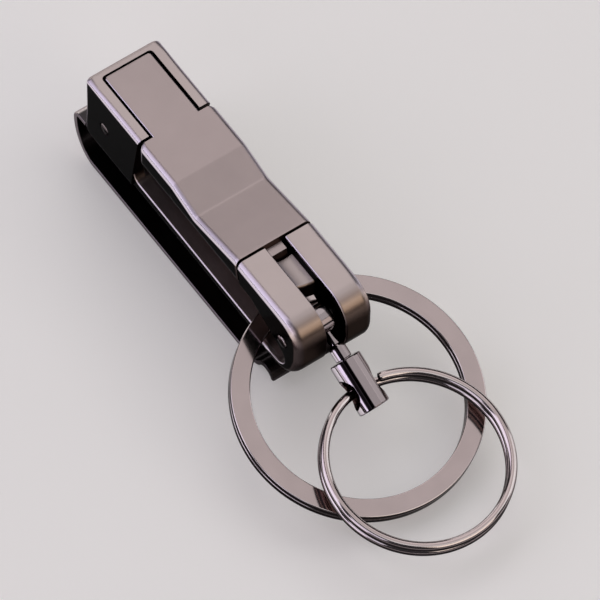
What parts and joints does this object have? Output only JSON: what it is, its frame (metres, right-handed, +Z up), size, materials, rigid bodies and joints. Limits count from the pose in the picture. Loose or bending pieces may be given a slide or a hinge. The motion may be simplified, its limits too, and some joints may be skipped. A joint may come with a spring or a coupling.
{
  "type": "key ring",
  "caption": "Metal belt-clip key ring: long carabiner body with a sprung gate, a spring belt clip, a swivel and two split rings.",
  "frame": {"origin": "on the belt clip's flat outer face, under the body's middle line, 20 mm from the head end", "axes": "+X from the head with the gate hinge to the nose and the rings, +Y across, +Z up from the belt clip to the gate"},
  "size_m": [0.0927, 0.0381, 0.0221],
  "materials": {
    "casting": "satin gunmetal plating over a zinc casting",
    "pins": "dark nickel plating, polished",
    "spring_steel": "dark plated spring steel",
    "rings": "mirror-polished nickel"
  },
  "bodies": {
    "body": {"frame": "casting", "belt_clip": "spring_steel", "clip_rivet_1": "pins", "clip_rivet_2": "pins", "gate_pin": "pins", "gate_spring": "spring_steel", "cross_pin": "pins"},
    "gate": {"gate": "casting"},
    "eye": {"swivel_eye": "pins"},
    "barrel": {"barrel": "pins"},
    "small_ring": {"small_ring": "rings"},
    "large_ring": {"large_ring": "rings"}
  },
  "joints": [
    {"name": "gate_pivot", "type": "hinge", "parent": "body", "child": "gate", "pos_m": [-0.0149, 0, 0.0145], "axis": [0, 1, 0], "range_deg": [0, 12], "stiffness_Nm_per_rad": 0.12, "springref_deg": -28.65, "deforming": ["gate_spring"]},
    {"name": "swivel_swing", "type": "hinge", "parent": "body", "child": "eye", "pos_m": [0.0312, 0, 0.0161], "axis": [0, -1, 0], "range_deg": [0, 80]},
    {"name": "barrel_turn", "type": "hinge", "parent": "eye", "child": "barrel", "pos_m": [0.0312, 0, 0.0161], "axis": [0.8779, 0.0399, -0.4772], "range_deg": [-4, 4]},
    {"name": "small_ring_swing", "type": "hinge", "parent": "barrel", "child": "small_ring", "pos_m": [0.04118, 0.00047, 0.01046], "axis": [0.0454, -0.999, 0], "range_deg": [0, 90]},
    {"name": "large_ring_swing", "type": "hinge", "parent": "body", "child": "large_ring", "pos_m": [0.0254, 0, 0.012], "axis": [0, 1, 0], "range_deg": [0, 60]}
  ]
}
